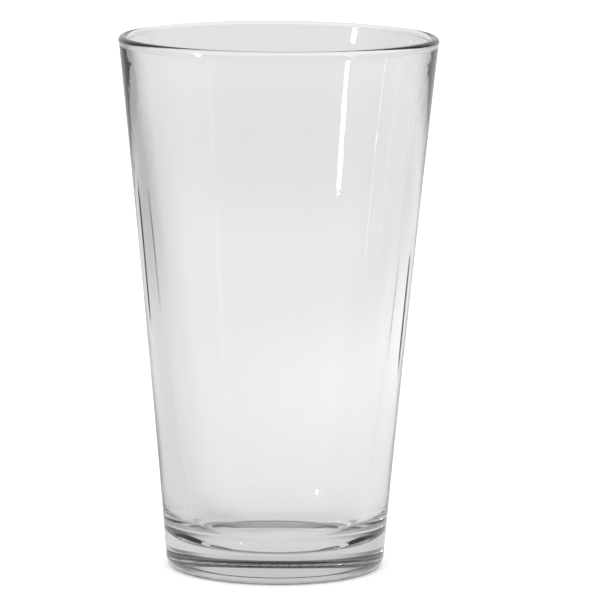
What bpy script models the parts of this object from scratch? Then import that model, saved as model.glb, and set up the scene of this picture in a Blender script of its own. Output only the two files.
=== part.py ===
"""Pint glass: a straight-sided mixing glass of clear pressed soda-lime glass.

The real glass is one piece, so it is one object here: a profile turned about Z.
Metres, +Z up. The glass stands on Z = 0, and its axis is the Z axis.
"""

import math

import bpy

MM = 0.001

# Outside of the glass
HEIGHT = 149.2 * MM
RIM_RADIUS = 44.6 * MM  # the widest point, on the rim bead
NECK_RADIUS = 44.33 * MM  # wall just under the bead
NECK_DROP = 2.6 * MM  # from the top of the rim down to there
FOOT_RADIUS = 30.6 * MM  # wall where the heel starts to round
WALL_BOW = 0.35 * MM  # how far the middle of the wall lies inside a straight taper

# Rim bead: a round lip, a little thicker than the wall below it
BEAD_RADIUS = 1.3 * MM
BEAD_UNDERCUT = math.radians(40)  # how far the round goes on under its widest point

# Base
HEEL_RADIUS = 3.0 * MM  # rounding between the wall and the bearing ring
BEARING_WIDTH = 3.6 * MM  # flat ring, at Z = 0, that the glass stands on
PUNT_RISE = 0.6 * MM  # hollow under the base, inside the ring

# Inside of the glass: the wall is thin at the mouth and thick at the floor
MOUTH_RADIUS = 42.0 * MM  # inner wall just under the bead
WELL_RADIUS = 24.0 * MM  # inner wall carried straight down to the floor's level
INNER_SWELL = 1.15 * MM  # most that the inner wall stands in from a straight taper
FLOOR_HEIGHT = 7.3 * MM  # edge of the floor, above the face the glass stands on
FLOOR_DISH = 0.8 * MM  # how much lower the middle of the floor is
CORNER_RADIUS = 11.0 * MM  # rounding between the floor and the inner wall

# How finely the round shapes are divided
TURN_STEPS = 72
WALL_STEPS = 10
DISH_STEPS = 4
CORNER_STEPS = 8
BEAD_STEPS = 12
HEEL_STEPS = 5

GLASS_COLOUR = (0.93, 0.95, 0.94, 1.0)
GLASS_ROUGHNESS = 0.02
GLASS_IOR = 1.52


def clear_scene():
    for obj in list(bpy.data.objects):
        bpy.data.objects.remove(obj, do_unlink=True)


def arc(centre, radius, start, end, steps):
    """Points (r, z) on a circle in the profile's plane, from one angle to another."""
    points = []
    for i in range(steps + 1):
        angle = start + (end - start) * i / steps
        r = centre[0] + radius * math.cos(angle)
        z = centre[1] + radius * math.sin(angle)
        points.append((r, z))
    return points


def bowed_line(start, end, bow, steps):
    """Points between two ends, moved towards the axis by bow(t) at a share t of the way."""
    points = []
    for i in range(1, steps):
        t = i / steps
        r = start[0] + (end[0] - start[0]) * t - bow(t)
        z = start[1] + (end[1] - start[1]) * t
        points.append((r, z))
    return points


def wall_bow(t):
    """Inward bow of the outer wall, most in the middle."""
    return WALL_BOW * 4 * t * (1 - t)


def inner_swell(t):
    """Swell of the inner wall from the corner (t = 0) to the mouth, most at t = 3/4."""
    return INNER_SWELL * 256 / 27 * t**3 * (1 - t)


def dish(radius, height, rise):
    """Points of a shallow dome from the axis out to radius, rise higher on the axis."""
    points = []
    for i in range(DISH_STEPS + 1):
        t = i / DISH_STEPS
        points.append((radius * t, height + rise * (1 - t * t)))
    return points


def inner_taper():
    """Angle of the inner wall from the vertical."""
    drop = HEIGHT - BEAD_RADIUS - FLOOR_HEIGHT
    return math.atan2(MOUTH_RADIUS - WELL_RADIUS, drop)


def corner_centre():
    """Centre of the round that touches both the inner wall and the floor's level."""
    taper = inner_taper()
    r = WELL_RADIUS - CORNER_RADIUS * (1 - math.sin(taper)) / math.cos(taper)
    return (r, FLOOR_HEIGHT + CORNER_RADIUS)


def inside_profile():
    """From the middle of the floor, round the corner and up to the rim bead."""
    centre = corner_centre()
    floor = dish(centre[0], FLOOR_HEIGHT, -FLOOR_DISH)
    corner = arc(centre, CORNER_RADIUS, -math.pi / 2, -inner_taper(), CORNER_STEPS)
    mouth = (MOUTH_RADIUS, HEIGHT - 2 * BEAD_RADIUS)
    wall = bowed_line(corner[-1], mouth, inner_swell, WALL_STEPS)
    return floor + corner[1:] + wall + [mouth]


def rim_profile():
    """Over the bead, from its inner side to the underside of its outer side."""
    centre = (RIM_RADIUS - BEAD_RADIUS, HEIGHT - BEAD_RADIUS)
    return arc(centre, BEAD_RADIUS, math.pi, -BEAD_UNDERCUT, BEAD_STEPS)


def outside_profile():
    """Down the wall from under the bead, round the heel and in to the axis."""
    neck = (NECK_RADIUS, HEIGHT - NECK_DROP)
    heel = arc((FOOT_RADIUS - HEEL_RADIUS, HEEL_RADIUS), HEEL_RADIUS, 0, -math.pi / 2, HEEL_STEPS)
    wall = bowed_line(neck, heel[0], wall_bow, WALL_STEPS)
    punt = dish(FOOT_RADIUS - HEEL_RADIUS - BEARING_WIDTH, 0, PUNT_RISE)
    return [neck] + wall + heel + punt[::-1]


def turned(name, profile):
    """An object whose surface is the profile turned once about Z."""
    mesh = bpy.data.meshes.new(name)
    edges = [(i, i + 1) for i in range(len(profile) - 1)]
    mesh.from_pydata([(r, 0.0, z) for r, z in profile], edges, [])
    obj = bpy.data.objects.new(name, mesh)
    screw = obj.modifiers.new("turn about the axis", "SCREW")
    screw.axis = "Z"
    screw.steps = TURN_STEPS
    screw.render_steps = TURN_STEPS
    screw.use_merge_vertices = True
    screw.merge_threshold = 0.01 * MM
    screw.use_smooth_shade = True
    return obj


def clear_glass():
    material = bpy.data.materials.new("clear_glass")
    material.use_nodes = True
    shader = material.node_tree.nodes["Principled BSDF"]
    shader.inputs["Base Color"].default_value = GLASS_COLOUR
    shader.inputs["Metallic"].default_value = 0.0
    shader.inputs["Roughness"].default_value = GLASS_ROUGHNESS
    shader.inputs["IOR"].default_value = GLASS_IOR
    shader.inputs["Transmission Weight"].default_value = 1.0
    return material


def main():
    clear_scene()
    pint_glass = bpy.data.collections.new("pint_glass")
    bpy.context.scene.collection.children.link(pint_glass)
    profile = inside_profile() + rim_profile() + outside_profile()
    tumbler = turned("glass_tumbler", profile)
    tumbler.data.materials.append(clear_glass())
    pint_glass.objects.link(tumbler)


main()
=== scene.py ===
"""Looks of the clear pint glass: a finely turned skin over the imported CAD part, a glass
material, a pale floor, and separate soft light for the floor and for what the glass shows.
Metres, +Z up, the glass stands on Z = 0.
"""

import math

import bpy
import numpy as np
from mathutils import Matrix, Vector, noise


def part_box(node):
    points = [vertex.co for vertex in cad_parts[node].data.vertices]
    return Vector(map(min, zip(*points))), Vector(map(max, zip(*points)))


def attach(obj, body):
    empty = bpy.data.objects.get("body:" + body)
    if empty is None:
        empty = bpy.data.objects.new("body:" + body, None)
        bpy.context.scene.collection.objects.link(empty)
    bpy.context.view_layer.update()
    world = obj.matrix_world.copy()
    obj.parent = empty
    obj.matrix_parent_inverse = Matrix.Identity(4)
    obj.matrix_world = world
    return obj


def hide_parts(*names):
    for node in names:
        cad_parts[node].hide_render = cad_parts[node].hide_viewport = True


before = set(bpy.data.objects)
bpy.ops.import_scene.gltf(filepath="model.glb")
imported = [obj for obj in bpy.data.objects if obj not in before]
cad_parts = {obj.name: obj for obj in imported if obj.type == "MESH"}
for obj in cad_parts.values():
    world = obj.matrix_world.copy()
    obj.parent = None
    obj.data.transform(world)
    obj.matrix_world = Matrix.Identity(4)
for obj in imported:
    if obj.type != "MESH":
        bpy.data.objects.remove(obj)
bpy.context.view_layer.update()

MM = 0.001
NODE = "glass_tumbler"
_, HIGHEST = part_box(NODE)

# Outside of the glass
HEIGHT = HIGHEST.z
RIM_RADIUS = HIGHEST.x  # the widest point, on the rim bead
NECK_RADIUS = RIM_RADIUS - 0.27 * MM  # wall just under the bead
NECK_DROP = 2.6 * MM  # from the top of the rim down to there
FOOT_RADIUS = 30.6 * MM  # wall where the heel starts to round
WALL_BOW = 0.35 * MM  # how far the middle of the wall lies inside a straight taper

# Rim bead
BEAD_RADIUS = 1.3 * MM
BEAD_UNDERCUT = math.radians(40)

# Base
HEEL_RADIUS = 3.0 * MM
BEARING_WIDTH = 3.6 * MM  # the ring that the glass stands on
PUNT_RISE = 0.6 * MM

# Inside of the glass
MOUTH_RADIUS = 42.0 * MM
WELL_RADIUS = 24.0 * MM
INNER_SWELL = 1.15 * MM
FLOOR_HEIGHT = 7.3 * MM
FLOOR_DISH = 0.8 * MM
CORNER_RADIUS = 11.0 * MM

# What pressing leaves in the glass
STIPPLE_COUNT = 132  # bumps round the bearing ring, in staggered rows
STIPPLE_ROWS = 3
STIPPLE_DEPTH = 0.28 * MM
RIPPLE_DEPTH = 0.035 * MM  # unevenness of the inner wall, where the plunger cooled it
RIPPLE_SIZE = 14 * MM
SKIN_RIPPLE_DEPTH = 0.012 * MM  # unevenness of the outer wall, where the mould held it
CHILL_DEPTH = 0.010 * MM  # finer unevenness of the inner wall
CHILL_SIZE = 5 * MM
FLOW_DEPTH = 0.11 * MM  # shallow upright flow marks in the outer wall
FLOW_WIDTH = 0.9 * MM
# Flow marks, whose places and depth are guesses: degrees from +X, lowest and highest point
FLOW_MARKS = ((-161.4, 66 * MM, 113 * MM), (-18.6, 55 * MM, 94 * MM))

# Fine waves near the mouth, where the glass was fire-polished
WAVE_SIZE = 3.5 * MM
WAVE_DEPTH = 0.013 * MM
WAVE_HEIGHTS = (0.092, 0.112)  # they grow from the first height to the second

# How finely the skin is divided
TURN_STEPS = 528
WALL_STEPS = 34
DISH_STEPS = 10
CORNER_STEPS = 14
BEAD_STEPS = 20
HEEL_STEPS = 8
STIPPLE_STEPS = 18

STIPPLE_EDGE = 0.5  # how steeply the stippling fades at the sides of the ring
RIPPLE_STRETCH = (1.0, 1.0, 0.6)  # the unevenness is drawn out along the height
RIPPLE_FADE = 9 * MM  # depth below the rim at which the unevenness starts to fade out
FLOW_FADE = 0.25  # share of a flow mark's length that fades in, and again out

# Glass
GLASS_TINT = (0.998, 1.0, 0.999, 1)
GLASS_IOR = 1.52
DEPTH_TINT = (0.804, 0.808, 0.806, 1)
DEPTH_DENSITY = 28.0
HAZE_SCALE = 60
HAZE_DETAIL = 4
HAZE_SPAN = (0.45, 0.8)  # noise values between which the roughness grows
HAZE_ROUGHNESS = (0.0, 0.02)
WAVE_DETAIL = 2
WAVE_STRENGTH = (0.02, 1)  # below and above WAVE_HEIGHTS

# Camera
CAMERA_DISTANCE = 1.4033
CAMERA_HEIGHT = 0.2905
CAMERA_PITCH = 0.1523
CAMERA_YAW = 0.0046
CAMERA_ROLL = 0.0082
CAMERA_LENS = 304.8
SENSOR_WIDTH = 36.0

# Studio
FLOOR_SIZE = 16.0
FLOOR_DROP = 0.1 * MM
FLOOR_ALBEDO = 0.93
BACKDROP_SEEN = 1.0  # brightness of the white surround that the camera sees
FLOOR_LIGHT = 1.85  # brightness of the surround that lights the floor

# The lit table that shows through the glass: radii from the axis, brightness
TABLE_DROP = 0.3 * MM
TABLE_UNDER = 0.74  # in the glass's own shade
TABLE_NEAR = 0.86
UNDER_RADIUS = (0.028, 0.050)
MIDDLE_RADIUS = (0.06, 0.32)
MIDDLE_GAIN = 1.03
FAR_RADIUS = (0.55, 0.80)
FAR_GAIN = 0.88
SIDE_RADIUS = (0.22, 0.60)  # where the near table gives way to the far table
POOL_CENTRE = (0.14, 0.24)  # a soft pool of extra light
POOL_RADIUS = 0.24
POOL_GAIN = 0.15

# The surround: degrees are azimuths from +Y towards +X, or heights above the horizon
WALL_BACK = 0.78
WALL_FRONT = 0.67
WALL_TURN = (40, 120)  # where the back gives way to the front
CEILING_BACK = 0.22
CEILING_FRONT = 0.60
CEILING_EDGE = (34, 50)  # where the walls give way to the ceiling
# Flags: two dark sectors of the surround and the table, not objects. They show only in the
# glass, whose edges they draw, and never on the floor or the backdrop. Each is an azimuth,
# half widths of its core and soft edge and the share of light lost on the wall, and then half
# widths on the table and the shares of light lost near the glass and far off.
FLAGS = (
    (-63, (6, 45), 0.72, (25, 52), 0.14, 0.55),
    (52, (5, 26), 0.67, (5, 26), 0.0, 0.25),
)
# The dimmer gap above the camera: degrees above the horizon, share of the light lost
GAP_HEIGHT = ((0, 0.0), (31, 0.0), (36, 0.6), (47, 0.6), (53, 0.0), (90, 0.0))
GAP_TURN = ((0, 1.0), (45, 1.0), (60, 0.0), (180, 0.0))  # degrees from -Y, share of the gap
# Lamps: azimuth and height in degrees, distance, width, height, brightness
LAMPS = {
    "strip": (-118.8, 8.3, 3.0, 0.25, 0.55, 12),
    "window": (49, 12, 3.0, 0.05, 0.05, 6),
    "slit": (-77, 0.5, 3.0, 0.05, 0.16, 5),
}

# Light paths
MOST_BOUNCES = 24
GLOSSY_BOUNCES = 12


def arc(centre, radius, start, end, steps):
    """Points (r, z) on a circle in the profile's plane, from one angle to another."""
    points = []
    for i in range(steps + 1):
        angle = start + (end - start) * i / steps
        points.append((centre[0] + radius * math.cos(angle), centre[1] + radius * math.sin(angle)))
    return points


def bowed_line(start, end, bow, steps):
    """Points between two ends, moved towards the axis by bow(t) at a share t of the way."""
    points = []
    for i in range(1, steps):
        t = i / steps
        r = start[0] + (end[0] - start[0]) * t - bow(t)
        points.append((r, start[1] + (end[1] - start[1]) * t))
    return points


def wall_bow(t):
    """Inward bow of the outer wall, most in the middle."""
    return WALL_BOW * 4 * t * (1 - t)


def inner_swell(t):
    """Swell of the inner wall from the corner (t = 0) to the mouth, most at t = 3/4."""
    return INNER_SWELL * 256 / 27 * t**3 * (1 - t)


def dish(radius, height, rise):
    """Points of a shallow dome from the axis out to radius, rise higher on the axis."""
    points = []
    for i in range(DISH_STEPS + 1):
        t = i / DISH_STEPS
        points.append((radius * t, height + rise * (1 - t * t)))
    return points


def inside_profile():
    """From the middle of the floor, round the corner and up to the rim bead."""
    taper = math.atan2(MOUTH_RADIUS - WELL_RADIUS, HEIGHT - BEAD_RADIUS - FLOOR_HEIGHT)
    corner_r = WELL_RADIUS - CORNER_RADIUS * (1 - math.sin(taper)) / math.cos(taper)
    centre = (corner_r, FLOOR_HEIGHT + CORNER_RADIUS)
    floor = dish(corner_r, FLOOR_HEIGHT, -FLOOR_DISH)
    corner = arc(centre, CORNER_RADIUS, -math.pi / 2, -taper, CORNER_STEPS)
    mouth = (MOUTH_RADIUS, HEIGHT - 2 * BEAD_RADIUS)
    wall = bowed_line(corner[-1], mouth, inner_swell, WALL_STEPS)
    return floor + corner[1:] + wall + [mouth]


def rim_profile():
    """Over the bead, from its inner side to the underside of its outer side."""
    centre = (RIM_RADIUS - BEAD_RADIUS, HEIGHT - BEAD_RADIUS)
    return arc(centre, BEAD_RADIUS, math.pi, -BEAD_UNDERCUT, BEAD_STEPS)


def outside_profile():
    """Down the wall from under the bead and round the heel to the bearing ring."""
    neck = (NECK_RADIUS, HEIGHT - NECK_DROP)
    centre = (FOOT_RADIUS - HEEL_RADIUS, HEEL_RADIUS)
    heel = arc(centre, HEEL_RADIUS, 0, -math.pi / 2, HEEL_STEPS)
    wall = bowed_line(neck, heel[0], wall_bow, WALL_STEPS)
    return [neck] + wall + heel


def under_profile():
    """Across the bearing ring and the hollow inside it, in to the axis."""
    outer = FOOT_RADIUS - HEEL_RADIUS
    ring = []
    for i in range(1, STIPPLE_STEPS):
        ring.append((outer - BEARING_WIDTH * i / STIPPLE_STEPS, 0.0))
    return ring + dish(outer - BEARING_WIDTH, 0, PUNT_RISE)[::-1]


def stipple(r, angle):
    """Height of the bearing ring above the plane it stands on: staggered round bumps."""
    across = (FOOT_RADIUS - HEEL_RADIUS - r) / BEARING_WIDTH
    inside = (across > 0) & (across < 1)
    row = np.cos(math.pi * STIPPLE_ROWS * (2 * across - 1))
    bump = row * np.cos(STIPPLE_COUNT * angle)
    edge = np.sin(math.pi * across) ** STIPPLE_EDGE
    return np.where(inside, STIPPLE_DEPTH * 0.5 * (1 - bump) * edge, 0)


def smoothstep(low, high, x):
    """A smooth step from 0 at low to 1 at high."""
    t = np.clip((x - low) / (high - low), 0, 1)
    return t * t * (3 - 2 * t)


def ripple(points, size):
    """Smooth noise in -1 to 1 at each point."""
    return np.array([noise.noise(Vector(p) / size) for p in points])


def flow_marks(r, z, angle):
    """How far the flow marks lie under the outer wall's surface."""
    depth = 0
    for degrees, low, high in FLOW_MARKS:
        turn = (angle - math.radians(degrees) + math.pi) % (2 * math.pi) - math.pi
        across = np.exp(-((turn * r / FLOW_WIDTH) ** 2))
        fade = FLOW_FADE * (high - low)
        along = smoothstep(low, low + fade, z) * (1 - smoothstep(high - fade, high, z))
        depth = depth + FLOW_DEPTH * across * along
    return depth


def skin_points(profile, steps):
    """The turned points as an array (step, profile point, 3), with what pressing leaves in them."""
    r = np.array([p[0] for p in profile])
    z = np.array([p[1] for p in profile])
    angle = np.arange(steps)[:, None] * 2 * math.pi / steps
    inside_count = len(inside_profile())
    height = z[None, :] + stipple(r[None, :], angle) * (np.arange(len(profile)) > inside_count)
    plain = np.stack([r * np.cos(angle), r * np.sin(angle), height], axis=-1)
    wall = smoothstep(FLOOR_HEIGHT, FLOOR_HEIGHT + 2 * CORNER_RADIUS, z)
    wall = wall * (1 - smoothstep(HEIGHT - RIPPLE_FADE, HEIGHT - 2 * BEAD_RADIUS, z))
    is_inside = np.arange(len(profile)) < inside_count
    depth = np.where(is_inside, RIPPLE_DEPTH, -SKIN_RIPPLE_DEPTH) * wall
    stretched = plain.reshape(-1, 3) * RIPPLE_STRETCH
    field = ripple(stretched, RIPPLE_SIZE).reshape(plain.shape[:2])
    shift = depth * (0.5 + 0.5 * field)
    fine = ripple(stretched, CHILL_SIZE).reshape(plain.shape[:2])
    shift = shift + np.where(is_inside, CHILL_DEPTH, 0) * wall * (0.5 + 0.5 * fine)
    shift = shift + np.where(is_inside, 0, 1) * flow_marks(r[None, :], z[None, :], angle)
    plain[..., 0] -= shift * np.cos(angle)
    plain[..., 1] -= shift * np.sin(angle)
    return plain


def turned_skin(name, profile, steps):
    """An object whose surface is the profile turned once about Z, closed at the axis."""
    rings = skin_points(profile, steps)
    count = len(profile)
    top = tuple(rings[0, 0])
    bottom = tuple(rings[0, -1])
    body = rings[:, 1:-1]
    inner = count - 2
    verts = [tuple(p) for p in body.reshape(-1, 3)] + [top, bottom]
    faces = []
    for i in range(steps):
        here, after = i * inner, (i + 1) % steps * inner
        faces.append((len(verts) - 2, here, after))
        for j in range(inner - 1):
            faces.append((here + j, here + j + 1, after + j + 1, after + j))
        faces.append((len(verts) - 1, after + inner - 1, here + inner - 1))
    mesh = bpy.data.meshes.new(name)
    mesh.from_pydata(verts, [], faces)
    for polygon in mesh.polygons:
        polygon.use_smooth = True
    obj = bpy.data.objects.new(name, mesh)
    bpy.context.scene.collection.objects.link(obj)
    return obj


def node(tree, kind, **values):
    """A new shader node, with its attributes set."""
    made = tree.nodes.new(kind)
    for key, value in values.items():
        setattr(made, key, value)
    return made


def clear_glass():
    """Soda-lime glass: grey in depth, with a faint haze and fine waves near the mouth."""
    material = bpy.data.materials.new("clear_glass")
    material.use_nodes = True
    tree = material.node_tree
    shader = tree.nodes["Principled BSDF"]
    shader.inputs["Base Color"].default_value = GLASS_TINT
    shader.inputs["IOR"].default_value = GLASS_IOR
    shader.inputs["Transmission Weight"].default_value = 1.0
    shader.inputs["Specular IOR Level"].default_value = 0.5
    place = node(tree, "ShaderNodeTexCoord")
    haze = node(tree, "ShaderNodeTexNoise")
    haze.inputs["Scale"].default_value = HAZE_SCALE
    haze.inputs["Detail"].default_value = HAZE_DETAIL
    spread = node(tree, "ShaderNodeMapRange")
    spread.inputs["From Min"].default_value = HAZE_SPAN[0]
    spread.inputs["From Max"].default_value = HAZE_SPAN[1]
    spread.inputs["To Min"].default_value = HAZE_ROUGHNESS[0]
    spread.inputs["To Max"].default_value = HAZE_ROUGHNESS[1]
    tree.links.new(place.outputs["Object"], haze.inputs["Vector"])
    tree.links.new(haze.outputs["Fac"], spread.inputs["Value"])
    tree.links.new(spread.outputs["Result"], shader.inputs["Roughness"])
    waves = node(tree, "ShaderNodeTexNoise")
    waves.inputs["Scale"].default_value = 1 / WAVE_SIZE
    waves.inputs["Detail"].default_value = WAVE_DETAIL
    tree.links.new(place.outputs["Object"], waves.inputs["Vector"])
    split = node(tree, "ShaderNodeSeparateXYZ")
    tree.links.new(place.outputs["Object"], split.inputs["Vector"])
    where = eased(tree, split.outputs["Z"], WAVE_HEIGHTS, WAVE_STRENGTH)
    bump = node(tree, "ShaderNodeBump")
    bump.inputs["Distance"].default_value = WAVE_DEPTH
    tree.links.new(where, bump.inputs["Strength"])
    tree.links.new(waves.outputs["Fac"], bump.inputs["Height"])
    tree.links.new(bump.outputs["Normal"], shader.inputs["Normal"])
    depth = node(tree, "ShaderNodeVolumeAbsorption")
    depth.inputs["Color"].default_value = DEPTH_TINT
    depth.inputs["Density"].default_value = DEPTH_DENSITY
    tree.links.new(depth.outputs["Volume"], tree.nodes["Material Output"].inputs["Volume"])
    return material


def square(name, drop):
    """A square of FLOOR_SIZE, drop below the plane that the glass stands on."""
    mesh = bpy.data.meshes.new(name)
    half = FLOOR_SIZE / 2
    corners = [(-half, -half, 0), (half, -half, 0), (half, half, 0), (-half, half, 0)]
    mesh.from_pydata(corners, [], [(0, 1, 2, 3)])
    obj = bpy.data.objects.new(name, mesh)
    obj.location.z = -drop
    bpy.context.scene.collection.objects.link(obj)
    return obj


def pale_floor():
    """The floor that the camera sees. The glass neither shows nor mirrors it."""
    obj = square("floor", FLOOR_DROP)
    material = bpy.data.materials.new("pale_floor")
    material.use_nodes = True
    shader = material.node_tree.nodes["Principled BSDF"]
    shader.inputs["Base Color"].default_value = (FLOOR_ALBEDO,) * 3 + (1,)
    shader.inputs["Roughness"].default_value = 1.0
    shader.inputs["Specular IOR Level"].default_value = 0.0
    obj.data.materials.append(material)
    obj.visible_transmission = False
    obj.visible_glossy = False


def lit_table():
    """What the glass shows below the horizon: a glowing table that the camera doesn't see."""
    obj = square("table", TABLE_DROP)
    obj.visible_camera = False
    obj.visible_diffuse = False
    obj.visible_shadow = False
    material = bpy.data.materials.new("lit_table")
    material.use_nodes = True
    material.cycles.emission_sampling = "NONE"
    tree = material.node_tree
    tree.nodes.clear()
    split = node(tree, "ShaderNodeSeparateXYZ")
    place = node(tree, "ShaderNodeTexCoord")
    tree.links.new(place.outputs["Object"], split.inputs["Vector"])
    x, y = split.outputs["X"], split.outputs["Y"]
    away = length_of(tree, x, y)
    turn = azimuth(tree, x, y)
    level = eased(tree, away, UNDER_RADIUS, (TABLE_UNDER, TABLE_NEAR))
    level = math_node(tree, "MULTIPLY", level, eased(tree, away, MIDDLE_RADIUS, (1, MIDDLE_GAIN)))
    level = math_node(tree, "MULTIPLY", level, eased(tree, away, FAR_RADIUS, (1, FAR_GAIN)))
    for centre, _, _, widths, near_loss, far_loss in FLAGS:
        loss = eased(tree, away, SIDE_RADIUS, (near_loss, far_loss))
        level = math_node(tree, "MULTIPLY", level, flagged(tree, turn, centre, widths, loss))
    from_pool = length_of(
        tree,
        math_node(tree, "SUBTRACT", x, POOL_CENTRE[0]),
        math_node(tree, "SUBTRACT", y, POOL_CENTRE[1]),
    )
    level = math_node(tree, "ADD", level, eased(tree, from_pool, (0, POOL_RADIUS), (POOL_GAIN, 0)))
    glow = node(tree, "ShaderNodeEmission")
    tree.links.new(level, glow.inputs["Strength"])
    out = node(tree, "ShaderNodeOutputMaterial")
    tree.links.new(glow.outputs["Emission"], out.inputs["Surface"])
    obj.data.materials.append(material)


def azimuth(tree, x, y):
    """Degrees from +Y towards +X of the direction (x, y)."""
    return math_node(tree, "MULTIPLY", math_node(tree, "ARCTAN2", x, y), 180 / math.pi)


def flagged(tree, turn, centre, widths, loss):
    """Share of the light left by a flag that takes up to loss of it round an azimuth."""
    off = math_node(tree, "ABSOLUTE", math_node(tree, "SUBTRACT", turn, centre))
    dark = math_node(tree, "MULTIPLY", eased(tree, off, widths, (1, 0)), loss)
    return math_node(tree, "SUBTRACT", 1, dark)


def ramp(tree, stops, value):
    """The brightness at value, between stops (position, brightness) whose positions span 0 to 1."""
    made = node(tree, "ShaderNodeValToRGB")
    elements = made.color_ramp.elements
    elements[0].position, elements[1].position = 0.0, 1.0
    for position, _ in stops[1:-1]:
        elements.new(position)
    for element, (position, grey) in zip(elements, stops):
        element.position = position
        element.color = (grey, grey, grey, 1)
    tree.links.new(value, made.inputs["Fac"])
    return made.outputs["Color"]


def risen_ramp(tree, stops, rise):
    """A ramp whose stops are given in degrees above the horizon."""
    return ramp(tree, [(degrees / 90, grey) for degrees, grey in stops], rise)


def math_node(tree, operation, first, second=None):
    """The result of an operation on sockets or plain numbers."""
    made = node(tree, "ShaderNodeMath", operation=operation)
    for socket, value in zip(made.inputs, (first, second)):
        if isinstance(value, (int, float)):
            socket.default_value = value
        elif value is not None:
            tree.links.new(value, socket)
    return made.outputs["Value"]


def length_of(tree, x, y):
    """The length of the vector (x, y)."""
    squares = math_node(tree, "MULTIPLY", x, x)
    total = math_node(tree, "MULTIPLY_ADD", y, y)
    tree.links.new(squares, total.node.inputs[2])
    return math_node(tree, "SQRT", total)


def eased(tree, value, span, levels):
    """A smooth step of value across span, from the first level to the second."""
    made = node(tree, "ShaderNodeMapRange", interpolation_type="SMOOTHSTEP")
    tree.links.new(value, made.inputs["Value"])
    for name, number in zip(("From Min", "From Max", "To Min", "To Max"), (*span, *levels)):
        made.inputs[name].default_value = number
    return made.outputs["Result"]


def mixed(tree, share, first, second):
    """The first value where share is 0, the second where it is 1."""
    made = node(tree, "ShaderNodeMix", data_type="FLOAT")
    tree.links.new(share, made.inputs[0])
    tree.links.new(first, made.inputs[2])
    tree.links.new(second, made.inputs[3])
    return made.outputs[0]


def background(tree, strength):
    """White light of a brightness, which is a number or a socket."""
    made = node(tree, "ShaderNodeBackground")
    if isinstance(strength, (int, float)):
        made.inputs["Strength"].default_value = strength
    else:
        tree.links.new(strength, made.inputs["Strength"])
    made.inputs["Color"].default_value = (1, 1, 1, 1)
    return made.outputs["Background"]


def studio_world():
    """Three surrounds: white for the camera, even for the floor, and one seen by the glass."""
    world = bpy.data.worlds.new("studio")
    bpy.context.scene.world = world
    world.use_nodes = True
    tree = world.node_tree
    tree.nodes.clear()
    place = node(tree, "ShaderNodeTexCoord")
    split = node(tree, "ShaderNodeSeparateXYZ")
    tree.links.new(place.outputs["Generated"], split.inputs["Vector"])
    turn = azimuth(tree, split.outputs["X"], split.outputs["Y"])
    off_back = math_node(tree, "ABSOLUTE", turn)
    rise = math_node(tree, "DIVIDE", math_node(tree, "ARCSINE", split.outputs["Z"]), math.pi / 2)
    walls = eased(tree, off_back, WALL_TURN, (WALL_BACK, WALL_FRONT))
    for centre, widths, loss, _, _, _ in FLAGS:
        walls = math_node(tree, "MULTIPLY", walls, flagged(tree, turn, centre, widths, loss))
    ceiling = eased(tree, off_back, WALL_TURN, (CEILING_BACK, CEILING_FRONT))
    low, high = CEILING_EDGE
    share = eased(tree, rise, (low / 90, high / 90), (0, 1))
    panels = mixed(tree, share, walls, ceiling)
    behind = math_node(tree, "SUBTRACT", 1, math_node(tree, "DIVIDE", off_back, 180))
    gap_turn = ramp(tree, [(degrees / 180, loss) for degrees, loss in GAP_TURN], behind)
    gap = math_node(tree, "MULTIPLY", risen_ramp(tree, GAP_HEIGHT, rise), gap_turn)
    panels = math_node(tree, "MULTIPLY", panels, math_node(tree, "SUBTRACT", 1, gap))
    path = node(tree, "ShaderNodeLightPath")
    to_floor = node(tree, "ShaderNodeMixShader")
    tree.links.new(path.outputs["Is Diffuse Ray"], to_floor.inputs["Fac"])
    tree.links.new(background(tree, panels), to_floor.inputs[1])
    tree.links.new(background(tree, FLOOR_LIGHT), to_floor.inputs[2])
    to_camera = node(tree, "ShaderNodeMixShader")
    tree.links.new(path.outputs["Is Camera Ray"], to_camera.inputs["Fac"])
    tree.links.new(to_floor.outputs["Shader"], to_camera.inputs[1])
    tree.links.new(background(tree, BACKDROP_SEEN), to_camera.inputs[2])
    out = node(tree, "ShaderNodeOutputWorld")
    tree.links.new(to_camera.outputs["Shader"], out.inputs["Surface"])


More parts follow.
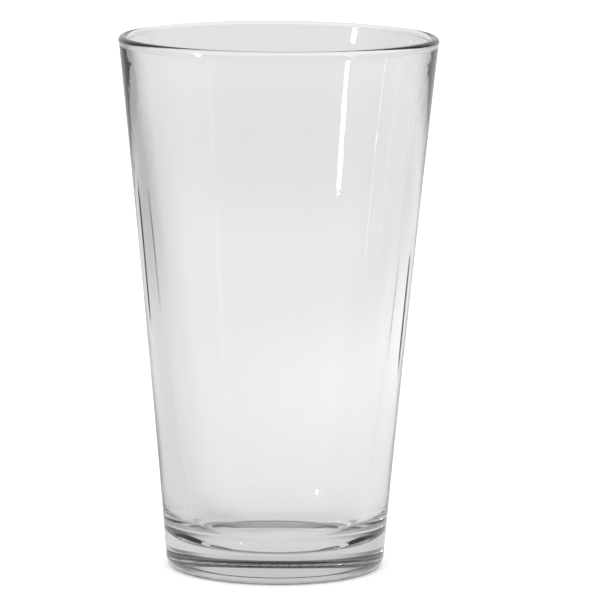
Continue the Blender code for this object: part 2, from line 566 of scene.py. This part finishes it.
def softbox(name, azimuth, elevation, distance, width, height, brightness):
    """A rectangular light that faces the glass. Azimuth runs from +Y towards +X, in degrees."""
    light = bpy.data.lights.new(name, "AREA")
    light.shape = "RECTANGLE"
    light.size = width
    light.size_y = height
    light.energy = brightness * math.pi * width * height
    obj = bpy.data.objects.new(name, light)
    turn, rise = math.radians(azimuth), math.radians(elevation)
    flat = distance * math.cos(rise)
    target = Vector((0, 0, HEIGHT / 2))
    obj.location = target + Vector(
        (flat * math.sin(turn), flat * math.cos(turn), distance * math.sin(rise))
    )
    obj.rotation_euler = (obj.location - target).to_track_quat("Z", "Y").to_euler()
    obj.visible_camera = False
    obj.visible_diffuse = False
    bpy.context.scene.collection.objects.link(obj)


def camera():
    data = bpy.data.cameras.new("camera")
    data.sensor_width = SENSOR_WIDTH
    data.lens = CAMERA_LENS
    data.clip_end = 100
    obj = bpy.data.objects.new("camera", data)
    obj.matrix_world = (
        Matrix.Translation((0, -CAMERA_DISTANCE, CAMERA_HEIGHT))
        @ Matrix.Rotation(-CAMERA_YAW, 4, "Z")
        @ Matrix.Rotation(math.pi / 2 - CAMERA_PITCH, 4, "X")
        @ Matrix.Rotation(CAMERA_ROLL, 4, "Z")
    )
    bpy.context.scene.collection.objects.link(obj)
    bpy.context.scene.camera = obj


def set_light_paths():
    """Enough bounces for light to leave the thick base, and colours shown as they are."""
    cycles = bpy.context.scene.cycles
    cycles.max_bounces = MOST_BOUNCES
    cycles.transmission_bounces = MOST_BOUNCES
    cycles.glossy_bounces = GLOSSY_BOUNCES
    cycles.caustics_reflective = True
    cycles.caustics_refractive = True
    bpy.context.scene.view_settings.view_transform = "Standard"


def main():
    profile = inside_profile() + rim_profile() + outside_profile() + under_profile()
    glass = turned_skin("glass_skin", profile, TURN_STEPS)
    glass.data.materials.append(clear_glass())
    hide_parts(NODE)
    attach(glass, "root")
    pale_floor()
    lit_table()
    studio_world()
    for name, settings in LAMPS.items():
        softbox(name, *settings)
    camera()
    set_light_paths()


main()
